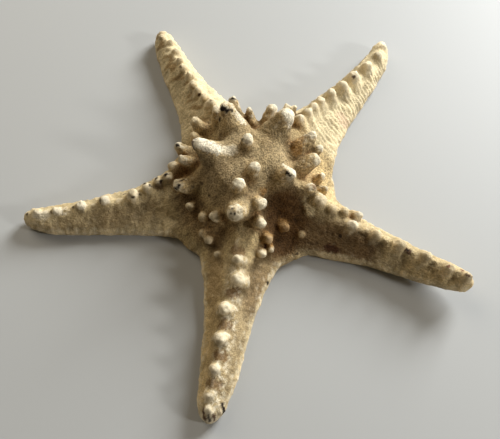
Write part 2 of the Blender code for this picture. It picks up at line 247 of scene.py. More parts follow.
# Knobs between the upper right and the right arm, and at the foot of the crown there.
RIGHT_SPINES = [
    Spine((16.6, 5.4, 15.0), (25.4, 11.2, 22.4), 5.4, 2.4),
    Spine((20.0, 5.0, 12.0), (28.6, 7.6, 18.8), 4.4, 2.0),
    Spine((17.0, -1.4, 14.0), (25.8, 1.6, 19.2), 5.2, 3.2),
    Spine((27.0, -1.0, 7.0), (30.1, -1.3, 11.4), 2.8, 1.6),
    Spine((17.4, -9.0, 12.6), (24.0, -11.0, 17.6), 5.4, 2.7),
    Spine((28.0, -6.4, 7.0), (31.4, -7.1, 11.2), 2.8, 1.7),
    Spine((22.0, -13.0, 13.0), (23.8, -19.6, 13.0), 3.4, 1.2),
    Spine((24.6, -12.0, 8.0), (28.0, -15.4, 15.4), 5.0, 3.2),
    Spine((30.0, -15.6, 8.0), (33.0, -18.4, 14.0), 3.8, 2.4),
    Spine((27.6, -17.0, 6.0), (30.0, -19.4, 11.0), 2.4, 1.4),
    Spine((36.0, -17.0, 8.0), (38.1, -19.2, 13.2), 3.6, 2.1),
    Spine((42.0, -18.4, 7.0), (44.2, -19.8, 11.8), 3.0, 1.8),
    Spine((26.0, -21.0, 4.0), (28.8, -23.6, 8.2), 2.4, 1.2),
    Spine((12.0, -21.6, 6.0), (14.2, -25.0, 11.0), 4.2, 1.8),
    Spine((18.6, -23.4, 4.0), (21.0, -26.6, 8.2), 3.2, 1.5),
    Spine((5.0, -27.0, 7.0), (7.0, -30.4, 11.6), 4.8, 2.1),
    Spine((7.0, -31.0, 5.6), (8.4, -34.0, 9.4), 3.0, 1.5),
    Spine((3.8, -34.2, 8.0), (5.0, -37.0, 11.4), 2.4, 1.5),
]

# Knobs on the left of the disc, from the front arm round to the upper left arm.
LEFT_SPINES = [
    Spine((-14.8, -18.0, 9.0), (-18.8, -22.4, 15.0), 3.6, 2.1),
    Spine((-9.4, -19.6, 11.6), (-13.8, -23.6, 17.8), 4.0, 2.3),
    Spine((-20.0, -14.0, 9.0), (-24.0, -17.6, 15.0), 3.8, 1.9),
    Spine((-16.0, -23.2, 5.0), (-18.9, -27.4, 10.8), 3.0, 1.9),
    Spine((-14.2, -26.8, 5.0), (-16.6, -30.2, 10.4), 3.0, 2.0),
    Spine((-11.0, -33.0, 4.0), (-12.8, -36.2, 9.4), 3.0, 1.6),
    Spine((-22.6, -17.6, 4.0), (-26.2, -20.8, 8.0), 2.6, 1.4),
    Spine((-22.4, 6.4, 12.0), (-29.6, 8.7, 19.0), 4.6, 2.2),
    Spine((-21.4, 1.6, 14.0), (-28.0, 1.5, 20.6), 4.4, 1.8),
    Spine((-26.4, 0.4, 11.0), (-32.0, 0.9, 16.2), 3.8, 2.1),
    Spine((-18.0, -7.0, 13.0), (-28.4, -9.9, 18.8), 6.4, 2.5),
    Spine((-18.0, 21.0, 8.0), (-23.8, 25.4, 13.6), 4.8, 2.5),
    Spine((-19.0, 13.4, 9.0), (-24.0, 17.2, 14.6), 4.4, 1.8),
    Spine((-12.0, 22.0, 14.0), (-14.4, 27.0, 20.0), 4.0, 2.1),
    Spine((-15.0, 30.0, 10.0), (-16.6, 33.6, 16.0), 3.6, 2.1),
]

# Knobs along the ridge of each arm: distance along, offset across, height, radius.
RIDGE_KNOBS = {
    "upper_left": [
        (38, 0.4, 17.2, 2.3), (44, 0.2, 15.6, 2.1), (49, 1.3, 15.2, 2.1), (54, 1.4, 14.8, 2.0),
        (60, 0.6, 14.4, 1.9), (66, 1.2, 13.6, 1.9), (71, 0.7, 13.2, 1.8), (78, -0.2, 12.2, 1.8),
        (85, -0.6, 11.2, 1.7), (91, 2.0, 10.6, 1.8),
    ],
    "upper_right": [
        (32, -1.6, 20.2, 2.2), (37.5, -1.8, 19.4, 2.3), (42, -1.6, 18.4, 2.1), (47, -2.0, 17.8, 2.2),
        (54, -2.8, 17.2, 2.4), (62, -4.0, 16.2, 2.4), (70.5, -4.4, 15.2, 2.4), (80.5, -5.0, 13.8, 2.3),
        (90, -5.0, 12.6, 2.1), (97.5, -3.6, 10.8, 1.8),
    ],
    "right": [
        (48, -4.4, 15.9, 2.2), (58, -3.8, 15.8, 2.1), (68, -3.6, 16.2, 2.2),
        (78.5, -4.4, 16.8, 2.2), (88, -5.2, 17.2, 2.1), (95, -5.4, 16.8, 2.0),
    ],
    "front": [
        (41, 1.5, 17.0, 2.0), (49, 2.6, 16.8, 2.2), (61, -0.1, 15.4, 2.1), (72, 0.0, 14.0, 2.1),
        (83, -0.2, 12.4, 1.9), (92, -0.4, 11.0, 1.8), (96.5, -0.2, 9.3, 1.7),
    ],
    "left": [
        (34, -1.6, 18.2, 2.5), (38, -0.6, 17.2, 2.2), (43, 1.0, 16.5, 2.2), (49, 2.8, 15.9, 2.4),
        (61, 2.4, 14.5, 2.2), (71, 2.6, 13.0, 2.0), (81, 2.6, 11.7, 1.9), (89, 1.6, 10.7, 1.8),
    ],
}


class Stain(NamedTuple):
    """A mark on the skin, from one place to another: its radius, strength and tint."""

    start: tuple
    end: tuple
    radius: float
    strength: float
    tint: str


def srgb(red, green, blue):
    """A colour given as 0 to 255 values, as linear numbers."""
    values = np.array([red, green, blue]) / 255.0
    return np.where(values <= 0.04045, values / 12.92, ((values + 0.055) / 1.055) ** 2.4)


# The skin's own colours, a brown for the painted shade of its sheltered hollows, and the tints of the
# marks.
BODY = srgb(168, 147, 105)
PALE = srgb(214, 197, 158)
TIP = srgb(224, 212, 184)
FLANK = srgb(188, 160, 112)
HOLLOW_SHADE = srgb(124, 91, 53)
WARM = srgb(152, 123, 79)
GREY = srgb(156, 139, 107)
CROWN = srgb(136, 118, 88)
TINTS = {
    "black": srgb(34, 25, 19),
    "brown": srgb(72, 44, 28),
    "red": srgb(104, 62, 44),
    "shade": srgb(88, 63, 35),
    "umber": srgb(108, 80, 48),
    "straw": srgb(198, 172, 124),
    "cream": srgb(220, 202, 160),
    "orange": srgb(182, 136, 76),
    "ash": srgb(146, 126, 93),
    "pink": srgb(214, 170, 148),
    "pale": srgb(230, 220, 196),
}

# Marks of these tints lie under the chalk and the pale knobs, and all others over them.
UNDER_TINTS = ("shade", "ash", "straw")

# Marks from this radius up have soft edges, and smaller ones crisp edges, as a share of it.
# All are ragged by a share of the radius, up to a limit.
SOFT_RADIUS = 3.0
SOFT_EDGE = 0.45
CRISP_EDGE = 0.22
RAGGED_SHARE = 0.5
RAGGED_LIMIT = 0.8

# By arm, in the order of ARMS: how pale it is beside the disc, how white its knobs are, how
# clear its net of fine ridges is, and how deep its ribs and its folds are in millimetres.
ARM_PALENESS = [0.75, 0.95, 0.3, 0.12, 0.3]
ARM_TIPS = [0.35, 0.6, 0.3, 0.7, 0.55]
ARM_NET = [0.5, 0.25, 0.7, 0.2, 0.5]
ARM_RIBS = [0.09, 0.20, 0.04, 0.03, 0.06]
ARM_FOLDS = [0.38, 0.12, 0.18, 0.16, 0.30]

# How white the knobs are on the crown, and low on the shaded side of the disc, where less white stands for
# painted shade.
CROWN_TIPS = 0.9
SHADED_SIDE_TIPS = 0.15

# How strong the grain is on each arm, and on the disc.
ARM_GRAIN = [0.5, 0.45, 0.65, 0.55, 0.5]
CROWN_GRAIN = 1.15

# The marks.
STAINS = [
    # Painted shade: broad brown over the hollows around the crown, where its horns and knobs shade
    # it, with a painted orange glow in the shaded depths between the knobs; a paler grey painted as fill
    # light on the crown's shaded front; and the pale foot on its right.
    Stain((13.6, -17.6, 14.0), (12.0, -29.0, 7.0), 8.5, 1.0, "shade"),
    Stain((20.2, -25.0, 8.0), (43.8, -32.6, 8.0), 7.5, 0.85, "shade"),
    Stain((8.0, -17.5, 16.1), (9.0, -20.0, 14.0), 4.0, 0.5, "shade"),
    Stain((-20.1, -16.7, 14.0), (-27.0, -14.0, 12.0), 4.0, 0.5, "shade"),
    # Painted fill light: a paler grey over the shaded front of the crown.
    Stain((-13.0, -4.0, 23.0), (-9.0, -14.0, 21.0), 7.0, 0.45, "ash"),
    Stain((-13.0, -28.0, 9.0), (-23.0, -19.0, 9.0), 5.5, 0.6, "shade"),
    Stain((-16.0, -24.5, 10.0), (-20.5, -20.5, 10.0), 2.4, 0.3, "orange"),
    Stain((32.0, -7.0, 9.0), (29.0, 10.0, 9.0), 6.0, 0.65, "straw"),
    Stain((18.9, 5.5, 21.2), (21.4, 9.4, 21.0), 2.4, 0.55, "orange"),
    Stain((5.5, -14.6, 21.4), (5.5, -14.0, 21.4), 1.5, 0.6, "orange"),
    Stain((14.0, -25.4, 11.0), (13.6, -23.2, 11.8), 2.4, 0.35, "orange"),
    Stain((7.0, -31.4, 10.6), (6.6, -29.4, 11.6), 2.6, 0.35, "orange"),
    Stain((26.0, -20.0, 6.0), (16.0, -14.0, 17.0), 4.5, 0.5, "shade"),
    # The front arm: its yellow left flank, partly its own colour and partly painted fill light on that
    # shaded side, and its grey right flank;
    # painted shade in brown on the valleys beside its root; and painted shadow in the hollows between its
    # knobs, on their sides away from the light.
    Stain((-10.5, -38.0, 6.0), (-19.0, -88.0, 6.0), 4.8, 0.85, "straw"),
    Stain((0.6, -44.0, 7.0), (-7.6, -88.0, 6.0), 6.0, 0.6, "ash"),
    Stain((6.4, -38.0, 8.0), (1.8, -56.0, 7.0), 5.0, 0.5, "shade"),
    Stain((-12.6, -35.0, 7.0), (-13.4, -52.0, 7.0), 4.0, 0.4, "shade"),
    # Painted shadow: a brown smudge below each knob of the front arm.
    Stain((-6.0, -36.2, 14.0), (-2.6, -36.8, 14.0), 2.0, 0.7, "umber"),
    Stain((-7.6, -53.2, 12.6), (-2.6, -53.8, 12.4), 2.1, 0.8, "umber"),
    Stain((-12.0, -65.0, 11.6), (-6.8, -65.8, 11.4), 2.1, 0.8, "umber"),
    Stain((-13.6, -76.0, 10.6), (-8.8, -77.0, 10.2), 1.9, 0.8, "umber"),
    Stain((-15.0, -86.2, 9.4), (-10.8, -87.0, 9.0), 1.7, 0.7, "umber"),
    # Painted shade on the near flanks of the left and right arms, which face away from the light, a straw
    # patch on the right one, and the pale tip of the left one.
    Stain((-42.0, -16.0, 8.0), (-80.0, -23.0, 4.0), 5.0, 0.3, "shade"),
    Stain((48.0, -34.0, 7.0), (64.0, -42.0, 8.0), 5.0, 0.2, "shade"),
    Stain((64.0, -43.5, 8.0), (80.0, -51.5, 10.0), 5.5, 0.4, "straw"),
    Stain((-93.0, -16.6, 7.5), (-82.0, -18.0, 9.0), 3.8, 0.6, "cream"),
    # Pale places: on the horns, the left arm, and the roots of the two right arms; on the right rim of the
    # upper left horn and the lit flank of a forward spike right of the crown they are painted highlights.
    Stain((-20.7, 1.7, 32.9), (-13.4, 0.9, 29.6), 2.8, 0.8, "pale"),
    Stain((-12.0, 1.0, 29.0), (-7.0, 1.5, 27.1), 2.4, 0.45, "pale"),
    Stain((14.9, 15.9, 32.2), (16.8, 13.4, 30.0), 2.4, 0.8, "pale"),
    Stain((17.0, -10.0, 29.0), (14.4, -5.4, 27.0), 1.8, 0.6, "pale"),
    # Painted highlight: the lit flank of the forward-pointing spike right of the crown.
    Stain((23.3, -15.4, 15.6), (24.3, -19.6, 14.0), 2.2, 0.35, "cream"),
    # Painted highlight: the lit right rim of the upper left horn.
    Stain((-4.9, 18.2, 28.6), (-2.9, 16.0, 26.8), 1.8, 0.6, "pale"),
    Stain((39.4, -25.2, 16.1), (45.0, -20.8, 13.0), 2.8, 0.5, "pale"),
    Stain((-87.8, -18.6, 9.8), (-83.9, -18.3, 9.1), 2.0, 0.6, "pale"),
    Stain((-78.4, -17.7, 11.5), (-77.0, -17.0, 11.5), 2.2, 0.6, "pale"),
    Stain((-68.9, -15.9, 13.2), (-67.0, -15.4, 13.0), 2.2, 0.6, "pale"),
    Stain((-59.1, -13.9, 14.7), (-57.5, -13.4, 14.6), 2.2, 0.5, "pale"),
    Stain((41.0, 32.3, 7.7), (43.0, 30.6, 6.1), 2.8, 0.3, "pink"),
    # Black and brown spots on the horns, the knobs and the crown.
    Stain((-11.4, 19.4, 31.0), (-10.4, 18.8, 31.2), 1.15, 1.0, "black"),
    Stain((-9.7, 18.2, 31.0), (-9.2, 18.0, 30.8), 1.1, 1.0, "black"),
    Stain((-7.7, 18.5, 30.8), (-7.5, 18.3, 30.7), 0.9, 1.0, "black"),
    Stain((-10.6, 17.2, 29.6), (-10.4, 17.0, 29.2), 0.6, 0.7, "brown"),
    Stain((-12.5, 16.8, 27.0), (-12.0, 16.4, 26.4), 0.8, 1.0, "black"),
    Stain((-8.4, 27.4, 27.4), (-6.5, 27.2, 27.6), 0.8, 1.0, "black"),
    Stain((-22.3, 1.8, 31.9), (-22.8, 0.8, 31.0), 0.7, 0.8, "brown"),
    Stain((-22.4, -0.2, 30.0), (-22.2, -1.0, 29.2), 0.8, 1.0, "black"),
    Stain((-21.6, 3.2, 32.4), (-21.2, 3.0, 32.6), 0.5, 1.0, "black"),
    Stain((-3.6, 3.4, 29.8), (-3.0, 3.2, 32.0), 0.45, 0.8, "black"),
    Stain((-1.4, 2.4, 32.0), (-1.3, 1.9, 30.4), 0.35, 0.6, "brown"),
    Stain((0.4, -1.8, 26.9), (0.7, -2.0, 26.8), 0.6, 0.8, "brown"),
    Stain((-7.4, -14.6, 27.6), (-7.3, -15.2, 28.2), 0.7, 1.0, "black"),
    Stain((-6.7, -26.4, 29.0), (-5.6, -28.4, 28.5), 0.4, 1.0, "black"),
    Stain((-7.0, -28.0, 28.0), (-6.0, -27.2, 28.8), 0.35, 1.0, "black"),
    Stain((14.0, -10.6, 29.6), (15.4, -11.7, 29.0), 0.65, 1.0, "black"),
    Stain((25.4, -11.2, 19.8), (26.4, -11.0, 18.6), 1.2, 0.85, "umber"),
    Stain((-30.3, 8.2, 20.9), (-29.6, 8.0, 21.2), 0.9, 1.0, "black"),
    Stain((-28.4, -10.9, 20.8), (-29.6, -12.0, 19.6), 0.8, 1.0, "black"),
    Stain((-27.3, -9.2, 21.0), (-26.6, -8.6, 21.0), 0.5, 0.9, "black"),
    Stain((-34.6, -4.4, 18.0), (-34.0, -4.0, 18.2), 0.9, 1.0, "black"),
    Stain((-36.4, -6.6, 16.4), (-36.0, -6.3, 16.8), 0.7, 1.0, "black"),
    Stain((-19.3, -9.5, 19.1), (-19.1, -9.3, 19.1), 0.5, 0.8, "black"),
    Stain((-16.3, -14.7, 19.2), (-16.1, -14.9, 19.0), 0.5, 0.8, "black"),
    # Holes, cracks and specks along the arms, and dull tips.
    Stain((31.6, -32.0, 6.4), (34.4, -32.5, 6.3), 1.5, 0.85, "brown"),
    Stain((36.0, -28.3, 9.9), (36.2, -28.3, 9.9), 0.6, 0.9, "black"),
    Stain((18.6, -33.5, 4.2), (19.0, -33.5, 4.2), 0.6, 0.9, "black"),
    Stain((61.2, -36.0, 13.1), (61.6, -36.3, 12.9), 1.35, 0.9, "brown"),
    Stain((61.2, -35.9, 13.1), (61.4, -36.0, 13.0), 0.6, 1.0, "black"),
    Stain((74.8, -44.2, 16.5), (75.2, -44.2, 16.4), 0.75, 0.85, "red"),
    Stain((81.0, -45.2, 14.2), (81.4, -45.2, 14.1), 0.75, 0.85, "red"),
    Stain((80.8, -47.2, 16.6), (82.8, -48.5, 16.2), 0.5, 1.0, "brown"),
    Stain((7.1, -46.2, 4.3), (7.3, -46.4, 4.1), 0.8, 1.0, "black"),
    Stain((5.9, -32.2, 10.2), (6.1, -33.0, 9.6), 0.8, 0.8, "brown"),
    Stain((-14.8, -97.6, 6.0), (-11.6, -97.8, 4.6), 2.6, 0.5, "shade"),
    Stain((-9.9, -93.2, 6.3), (-9.3, -95.4, 3.4), 0.8, 1.0, "black"),
    Stain((-16.6, -95.0, 8.0), (-15.8, -98.2, 5.6), 0.6, 0.9, "brown"),
    Stain((-14.6, -96.6, 7.6), (-14.2, -98.8, 5.0), 0.6, 0.9, "black"),
    Stain((-12.9, -96.8, 6.8), (-12.4, -98.4, 4.4), 0.55, 0.9, "brown"),
    Stain((-32.4, 58.1, 13.0), (-32.2, 57.8, 13.0), 0.6, 0.9, "brown"),
    Stain((-22.9, 40.7, 13.5), (-22.7, 40.5, 13.5), 0.6, 0.9, "brown"),
    Stain((-17.1, 34.3, 17.8), (-17.0, 34.0, 17.8), 0.7, 0.9, "brown"),
    Stain((-26.8, 45.2, 12.2), (-26.6, 45.0, 12.2), 0.5, 0.9, "brown"),
    Stain((-45.3, 83.7, 7.0), (-45.0, 83.0, 7.0), 1.8, 0.6, "shade"),
    Stain((47.3, 50.3, 14.3), (47.5, 50.8, 14.3), 0.6, 0.9, "brown"),
    Stain((-92.0, -17.0, 7.6), (-91.8, -17.0, 7.8), 0.6, 1.0, "black"),
    Stain((-81.4, -17.3, 9.9), (-81.2, -17.1, 10.0), 0.6, 0.9, "black"),
    Stain((-72.5, -15.3, 10.5), (-72.3, -15.2, 10.6), 0.5, 0.9, "black"),
    Stain((-61.0, -13.7, 13.6), (-61.2, -14.4, 12.4), 0.5, 0.9, "black"),
    Stain((-52.3, -8.1, 8.7), (-52.0, -8.2, 8.9), 0.6, 0.9, "black"),
    Stain((-47.4, -13.1, 14.8), (-47.2, -13.0, 14.9), 0.6, 0.9, "black"),
    Stain((-45.0, -11.2, 13.2), (-44.8, -11.2, 13.3), 0.6, 0.9, "black"),
    Stain((-43.2, -7.5, 15.9), (-43.0, -7.4, 16.0), 0.8, 0.95, "black"),
    Stain((-40.8, -7.9, 15.6), (-40.6, -7.9, 15.7), 0.7, 0.9, "black"),
    Stain((-38.4, -5.2, 16.8), (-38.2, -5.2, 16.8), 0.7, 0.9, "black"),
    Stain((-37.6, -8.5, 15.1), (-36.8, -8.2, 15.4), 1.6, 0.6, "brown"),
]


def new_object(name, mesh):
    obj = bpy.data.objects.new(name, mesh)
    bpy.context.scene.collection.objects.link(obj)
    return obj


def evaluated_copy(obj):
    graph = bpy.context.evaluated_depsgraph_get()
    return bpy.data.meshes.new_from_object(obj.evaluated_get(graph), depsgraph=graph)


def interpolate(table, x):
    """The row of values of a table at x, in a straight line between its two nearest rows."""
    if x <= table[0][0]:
        return table[0][1:]
    for low, high in zip(table, table[1:]):
        if x <= high[0]:
            t = (x - low[0]) / (high[0] - low[0])
            return tuple(a + (b - a) * t for a, b in zip(low[1:], high[1:]))
    return table[-1][1:]


def spline(points, x):
    """The smooth curve through (x, values...) points, read at x, by Catmull-Rom pieces."""
    last = len(points) - 2
    i = 0
    while i < last and x > points[i + 1][0]:
        i += 1
    p0 = points[max(i - 1, 0)]
    p1 = points[i]
    p2 = points[i + 1]
    p3 = points[min(i + 2, len(points) - 1)]
    t = min(max((x - p1[0]) / (p2[0] - p1[0]), 0.0), 1.0)
    values = []
    for a, b, c, d in zip(p0[1:], p1[1:], p2[1:], p3[1:]):
        values.append(0.5 * (2 * b + (c - a) * t + (2 * a - 5 * b + 4 * c - d) * t * t
                             + (3 * b - a - 3 * c + d) * t ** 3))
    return values


def arm_point(arm, along, across, up):
    """A point given along, across and above an arm's route, in millimetres."""
    bearing = math.radians(arm.bearing)
    x = along * math.cos(bearing) - across * math.sin(bearing)
    y = along * math.sin(bearing) + across * math.cos(bearing)
    return Vector((x, y, up))


def top_height(t, height, edge, hollow):
    return edge + (height - edge) * (1.0 - t) ** hollow


def arm_section(half_width, height, edge, hollow, ridge):
    """Closed outline of an arm's section as (across, up) points, from edge to edge and back."""
    peak = ridge * min(1.0, half_width / FULL_RIDGE_WIDTH)
    outline = []
    for i in range(-FLANK_POINTS, FLANK_POINTS + 1):
        t = i / FLANK_POINTS
        side = half_width - peak if t > 0 else half_width + peak
        outline.append((peak + t * side, top_height(abs(t), height, edge, hollow)))
    bulge = EDGE_BULGE * min(half_width, edge * 2)
    outline.append((half_width + bulge, edge * 0.5))
    outline.append((half_width, 0.0))
    outline.append((half_width * SOLE_SHARE, -UNDERCUT))
    outline.append((0.0, -UNDERCUT))
    outline.append((-half_width * SOLE_SHARE, -UNDERCUT))
    outline.append((-half_width, 0.0))
    outline.append((-half_width - bulge, edge * 0.5))
    return outline


def loft(mesh, rings):
    """Skin a row of rings of equally many points, and cap both ends."""
    verts = [[mesh.verts.new(p * MM) for p in ring] for ring in rings]
    count = len(verts[0])
    for lower, upper in zip(verts, verts[1:]):
        for i in range(count):
            j = (i + 1) % count
            mesh.faces.new((lower[i], lower[j], upper[j], upper[i]))
    mesh.faces.new(list(reversed(verts[0])))
    mesh.faces.new(verts[-1])


def add_arm(mesh, arm):
    rings = []
    for i in range(ARM_STATIONS + 1):
        share = i / ARM_STATIONS
        nominal = NOMINAL_ARM * (1.0 - (1.0 - share) ** STATION_CROWDING)
        along = nominal * arm.length / NOMINAL_ARM
        half_width, height, edge, hollow = interpolate(ARM_PROFILE, nominal)
        half_width *= arm.breadth
        across, lift = spline(arm.route, along)
        ring = [arm_point(arm, along, across + a, lift + up)
                for a, up in arm_section(half_width, height, edge, hollow, arm.ridge)]
        rings.append(ring)
    loft(mesh, rings)


def disc_ring(radius, height):
    """A level ring of the disc, whose foot lies further forward than its crown."""
    shift = DISC_SHIFT * (1.0 - height / DISC_PROFILE[0][1])
    above_foot = min(max((height - SPREAD_START) / SPREAD_RISE, 0.0), 1.0)
    ring = []
    for i in range(DISC_SIDES):
        angle = 2 * math.pi * i / DISC_SIDES - math.pi
        spread = spline(DISC_SPREAD, math.degrees(angle))[0]
        reach = radius * (1.0 + (spread - 1.0) * above_foot)
        ring.append(Vector((reach * math.cos(angle), shift + reach * math.sin(angle), height)))
    return ring


def add_disc(mesh):
    """The disc between the arms."""
    foot_radius = DISC_PROFILE[-1][0] - UNDERCUT
    rings = [disc_ring(foot_radius, -UNDERCUT)]
    rings += [disc_ring(radius, height) for radius, height in reversed(DISC_PROFILE[1:])]
    loft(mesh, rings)


def add_spine(mesh, root, tip, root_radius, tip_radius):
    """A blunt cone from root to tip with a ball at the tip."""
    start = Vector(root) * MM
    end = Vector(tip) * MM
    direction = end - start
    turn = direction.to_track_quat("Z", "Y").to_matrix().to_4x4()
    middle = Matrix.Translation((start + end) / 2) @ turn
    bmesh.ops.create_cone(mesh, cap_ends=True, segments=SPINE_SIDES, radius1=root_radius * MM,
                          radius2=tip_radius * MM, depth=direction.length, matrix=middle)
    bmesh.ops.create_icosphere(mesh, subdivisions=3, radius=tip_radius * MM,
                               matrix=Matrix.Translation(end))


def add_ridge_knobs(mesh, arm):
    for along, across, height, radius in RIDGE_KNOBS[arm.name]:
        top = height - radius
        tip = arm_point(arm, along, across, top)
        root = arm_point(arm, along - KNOB_LEAN, across, top - KNOB_DEPTH)
        add_spine(mesh, root, tip, radius * KNOB_FLARE, radius)


def object_from(mesh, name):
    data = bpy.data.meshes.new(name)
    bmesh.ops.recalc_face_normals(mesh, faces=mesh.faces)
    mesh.to_mesh(data)
    mesh.free()
    return new_object(name, data)


def grown(mesh, name, voxel, smoothing):
    """One even skin around everything in the mesh."""
    obj = object_from(mesh, name)
    remesh = obj.modifiers.new("skin", "REMESH")
    remesh.mode = "VOXEL"
    remesh.voxel_size = voxel * MM
    smooth = obj.modifiers.new("ease", "SMOOTH")
    smooth.factor = 0.5
    smooth.iterations = smoothing
    skin = evaluated_copy(obj)
    bpy.data.objects.remove(obj)
    return skin


def fine_form():
    """The solid's form in small even faces: disc and arms first, then every horn and knob."""
    mesh = bmesh.new()
    add_disc(mesh)
    for arm in ARMS:
        add_arm(mesh, arm)
    for horn in HORNS:
        add_spine(mesh, horn.root, horn.tip, horn.root_radius + HORN_FILLET, horn.tip_radius)
    body = grown(mesh, "body_form", FORM_VOXEL, FORM_SMOOTHING)
    mesh = bmesh.new()
    mesh.from_mesh(body)
    for spine in HORNS + CROWN_SPINES + RIGHT_SPINES + LEFT_SPINES:
        add_spine(mesh, *spine)
    for arm in ARMS:
        add_ridge_knobs(mesh, arm)
    return grown(mesh, "knobbed_form", SKIN_VOXEL, SKIN_SMOOTHING)


class Skin:
    """The fine mesh as arrays, in millimetres from the disc's centre at table height."""

    def __init__(self, mesh):
        self.mesh = mesh
        self.count = len(mesh.vertices)
        flat = np.empty(self.count * 3)
        mesh.vertices.foreach_get("co", flat)
        self.places = flat.reshape(-1, 3) / MM
        pairs = np.empty(len(mesh.edges) * 2, dtype=np.int64)
        mesh.edges.foreach_get("vertices", pairs)
        self.edges = pairs.reshape(-1, 2)
        self.degree = np.bincount(pairs, minlength=self.count).astype(float)

    def normals(self):
        flat = np.empty(self.count * 3)
        self.mesh.vertices.foreach_get("normal", flat)
        return flat.reshape(-1, 3)

    def averaged(self, values):
        """Each vertex's mean over its neighbours."""
        a, b = self.edges.T
        total = np.bincount(a, weights=values[b], minlength=self.count)
        total += np.bincount(b, weights=values[a], minlength=self.count)
        return total / self.degree

    def blurred(self, values, rounds):
        for _ in range(rounds):
            values = 0.5 * values + 0.5 * self.averaged(values)
        return values

    def write(self):
        flat = ((self.places + (*DISC_CENTRE, 0.0)) * MM).ravel()
        self.mesh.vertices.foreach_set("co", flat)
        self.mesh.update()


def bumps(places, size, seed=0.0):
    """Smooth noise from -1 to 1 at each place, with lumps about that many millimetres across."""
    offset = Vector((seed, seed * 1.7, -seed))
    scaled = places / size
    return np.array([noise.noise(Vector(p) + offset) for p in scaled]) * 1.6


def ease(low, high, x):
    """From 0 at low to 1 at high, smoothly."""
    t = np.clip((x - low) / (high - low), 0.0, 1.0)
    return t * t * (3.0 - 2.0 * t)


class Along(NamedTuple):
    """Where each vertex lies on its arm, in millimetres from the centre and from the route."""

    arm: np.ndarray
    along: np.ndarray
    across: np.ndarray
    flank: np.ndarray


def arm_places(places):
    """The nearest arm of each vertex, and its distances along and across that arm."""
    best = np.full(len(places), -9e9)
    index = np.zeros(len(places), dtype=int)
    along = np.zeros(len(places))
    across = np.zeros(len(places))
    radius = np.maximum(np.hypot(places[:, 0], places[:, 1]), 1e-6)
    for i, arm in enumerate(ARMS):
        bearing = math.radians(arm.bearing)
        s = places[:, 0] * math.cos(bearing) + places[:, 1] * math.sin(bearing)
        c = places[:, 1] * math.cos(bearing) - places[:, 0] * math.sin(bearing)
        route = np.array(arm.route)
        c = c - np.interp(s, route[:, 0], route[:, 1])
        nearer = s / radius > best
        best[nearer] = (s / radius)[nearer]
        index[nearer] = i
        along[nearer] = s[nearer]
        across[nearer] = c[nearer]
    ridges = np.array([arm.ridge for arm in ARMS])
    return Along(index, along, across, across - ridges[index])


def hemisphere(count):
    """Directions spread over the half space above Z, denser towards it."""
    turns = np.arange(count) * math.pi * (3.0 - math.sqrt(5.0))
    rise = np.sqrt(1.0 - (np.arange(count) + 0.5) / count)
    reach = np.sqrt(1.0 - rise * rise)
    return np.stack([reach * np.cos(turns), reach * np.sin(turns), rise], axis=1)


def sheltered(skin, normals):
    """The share of the sky that nearby forms hide from each vertex, from a sample of them."""
    polygons = [tuple(p.vertices) for p in skin.mesh.polygons]
    tree = BVHTree.FromPolygons([tuple(p) for p in skin.places], polygons)
    rays = hemisphere(SHELTER_RAYS)
    known = np.zeros(skin.count)
    value = np.zeros(skin.count)
    step = SHELTER_STEP
    for i in range(0, skin.count, step):
        normal = normals[i]
        aside = np.cross(normal, (0.31, 0.95, 0.05))
        aside /= np.linalg.norm(aside)
        frame_here = np.stack([aside, np.cross(normal, aside), normal])
        start = Vector(skin.places[i] + normal * 0.4)
        hits = sum(tree.ray_cast(start, Vector(d), SHELTER_REACH)[0] is not None
                   for d in rays @ frame_here)
        known[i] = 1.0
        value[i] = hits / len(rays)
    return skin.blurred(value, 12) / np.maximum(skin.blurred(known, 12), 1e-9)


def by_arm(values, on):
    """The value of each vertex's arm."""
    return np.array(values)[on.arm]


def net_places(places, on):
    """Where each vertex lies in the cells of its arm's net, which slant down the flanks."""
    length, width, rise = NET_CELL
    return np.stack([(on.along + 0.5 * np.abs(on.flank)) / length, on.across / width,
                     places[:, 2] / rise + on.arm * 7.0], axis=1)


def net_pattern(places, on):
    """A raised net around small pits, from -1 in a pit to 1 on the net."""
    near = np.array([noise.voronoi(Vector(p))[0][:2] for p in net_places(places, on)])
    return 1.0 - 2.0 * ease(0.05, 0.55, near[:, 1] - near[:, 0])


def slanted(places, along, aside, cell, shift=0.0):
    """Where each vertex lies in long cells that slant down the flank of an arm."""
    length, width = cell
    return np.stack([(0.5 * along + 0.87 * aside) / length, (0.87 * along - 0.5 * aside) / width,
                     places[:, 2] / 12.0 + shift], axis=1)


def wrinkles(places, on):
    """Sharp low folds, from 0 to 1: down the flanks of the arms, and all ways on the disc."""
    laid_out = slanted(places, on.along, np.abs(on.flank), FOLD_CELL, on.arm * 5.0)
    on_arm = 1.0 - ease(0.0, 0.28, np.abs(bumps(laid_out, 1.0, 31.0)))
    on_disc = 1.0 - ease(0.0, 0.22, np.abs(bumps(places * (1.0, 1.0, 0.6), CREASE_SIZE, 37.0)))
    outer = ease(*ARM_ROOT, on.along)
    return on_disc * (1.0 - outer) + on_arm * outer


def ribs_and_net(places, normals, on):
    """The ribs and the net of the flanks of the arms, in millimetres."""
    flank = ease(1.5, 4.0, np.abs(on.flank)) * ease(*ARM_ROOT, on.along)
    fading = (1.0 - ease(88.0, 97.0, on.along)) * ease(0.15, 0.5, normals[:, 2])
    phase = on.along / RIB_SPACING + 0.35 * bumps(places, 5.0, 3.0)
    ribbed = by_arm(ARM_RIBS, on) * ease(2.0, 5.0, np.abs(on.flank))
    ribs = np.sin(2 * math.pi * phase) * ribbed * flank * fading
    return ribs + net_pattern(places, on) * NET_HEIGHT * by_arm(ARM_NET, on) * flank * fading


